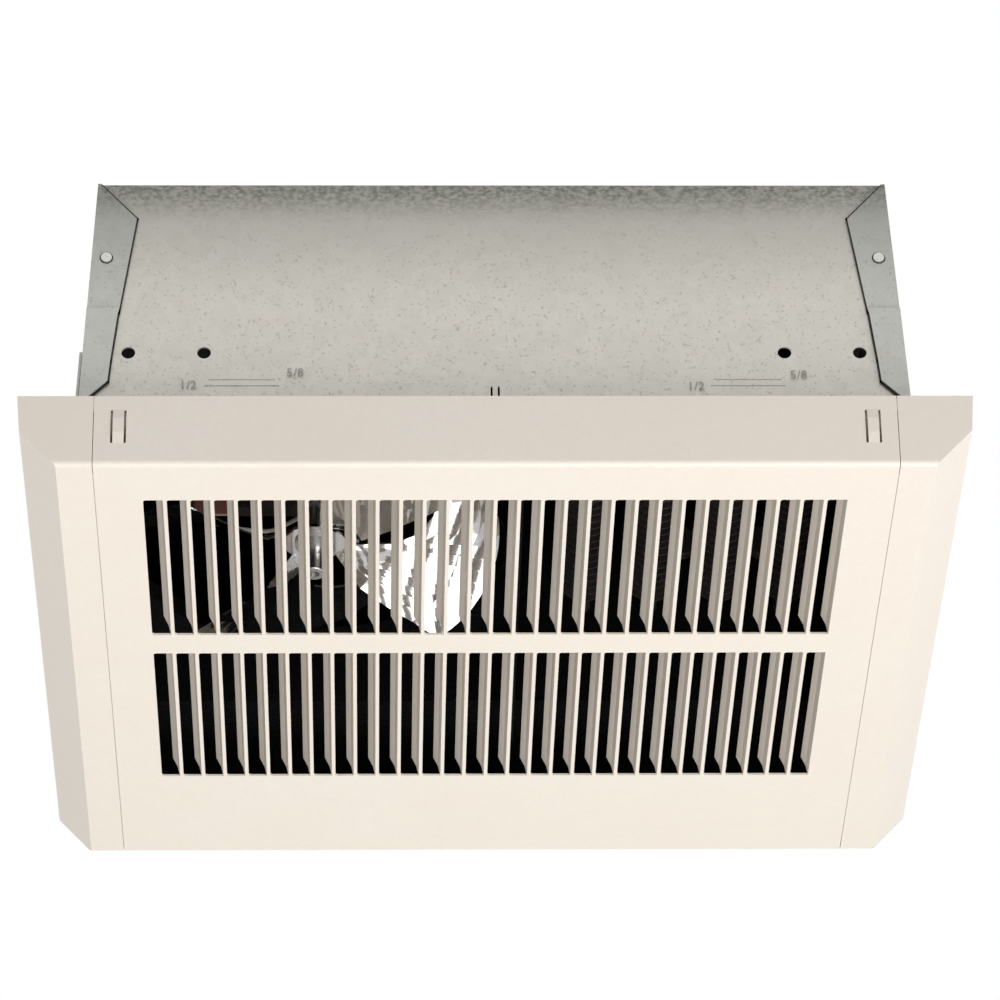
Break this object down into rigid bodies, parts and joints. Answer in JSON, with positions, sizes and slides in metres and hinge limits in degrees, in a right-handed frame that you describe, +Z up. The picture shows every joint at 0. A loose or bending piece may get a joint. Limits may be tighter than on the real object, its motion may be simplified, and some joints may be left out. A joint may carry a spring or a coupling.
{
  "type": "ceiling heater",
  "caption": "Recessed fan-forced ceiling heater: galvanised box, louvred off-white grille trim, axial fan with shaded-pole motor and finned tubular elements.",
  "frame": {"origin": "centre of the ceiling opening, in the plane of the finished ceiling", "axes": "+Z up into the ceiling, +X to the right along the long side of the grille, -Y towards the viewer's side"},
  "size_m": [0.413, 0.3578, 0.1545],
  "materials": {
    "galvanised": "zinc spangle, semi-matt",
    "trim_paint": "off-white baked enamel",
    "black_enamel": "matt black",
    "spring_steel": "spring steel",
    "zinc_fastener": "zinc plated",
    "laminations": "stacked sheet edges",
    "copper": "bare copper",
    "winding": "varnished winding with tape",
    "bobbin_nylon": "moulded nylon",
    "die_cast": "die cast",
    "bronze": "sintered bronze",
    "rubber_black": "moulded rubber",
    "shaft_steel": "ground steel",
    "rotor_steel": "turned laminations with cast bars",
    "polished_aluminium": "bright rolled sheet",
    "element_sheath": "oxidised steel sheath",
    "fin_steel": "plated steel fins",
    "steatite": "fired insulator",
    "terminal_steel": "plated stud and nut",
    "phenolic": "moulded phenolic",
    "ground_green": "green passivated",
    "bushing_nylon": "moulded nylon",
    "white_insulation": "wire insulation",
    "black_insulation": "wire insulation"
  },
  "bodies": {
    "box": {"air_divider": "black_enamel", "black_motor_lead": "black_insulation", "block_screws": "zinc_fastener", "clinch_buttons": "galvanised", "coil_bobbin": "bobbin_nylon", "element_fins": "fin_steel", "element_insulators": "steatite", "element_support": "black_enamel", "element_terminals": "terminal_steel", "fan_deck": "black_enamel", "fan_delay_switch": "phenolic", "grille_spring_clips": "spring_steel", "ground_screw": "ground_green", "heating_elements": "element_sheath", "housing_wrap": "galvanised", "joist_spacer": "galvanised", "lead_bushing": "bushing_nylon", "left_end_panel": "galvanised", "lower_bearing_bracket": "die_cast", "motor_bearings": "bronze", "motor_bridge": "black_enamel", "motor_bridge_screws": "zinc_fastener", "motor_coil": "winding", "motor_grommets": "rubber_black", "motor_screws": "zinc_fastener", "right_end_panel": "galvanised", "shading_rings": "copper", "stator_core": "laminations", "terminal_block": "phenolic", "terminal_screws": "zinc_fastener", "thermal_cutout": "phenolic", "thermostat_screws": "zinc_fastener", "upper_bearing_bracket": "die_cast", "white_motor_lead": "white_insulation", "wiring_floor": "black_enamel", "wiring_partition": "black_enamel"},
    "fan": {"fan_blade": "polished_aluminium", "fan_hub": "polished_aluminium", "hub_set_screw": "zinc_fastener", "motor_shaft": "shaft_steel", "motor_rotor": "rotor_steel"},
    "trim": {"grille_panel": "trim_paint", "left_trim_cap": "trim_paint", "right_trim_cap": "trim_paint"}
  },
  "joints": [
    {"name": "fan_spin", "type": "hinge", "parent": "box", "child": "fan", "pos_m": [-0.08, -0.02, 0.05], "axis": [0, 0, 1], "continuous": true},
    {"name": "trim_drop", "type": "slide", "parent": "box", "child": "trim", "axis": [0, 0, -1], "range_m": [0, 0.045]}
  ]
}
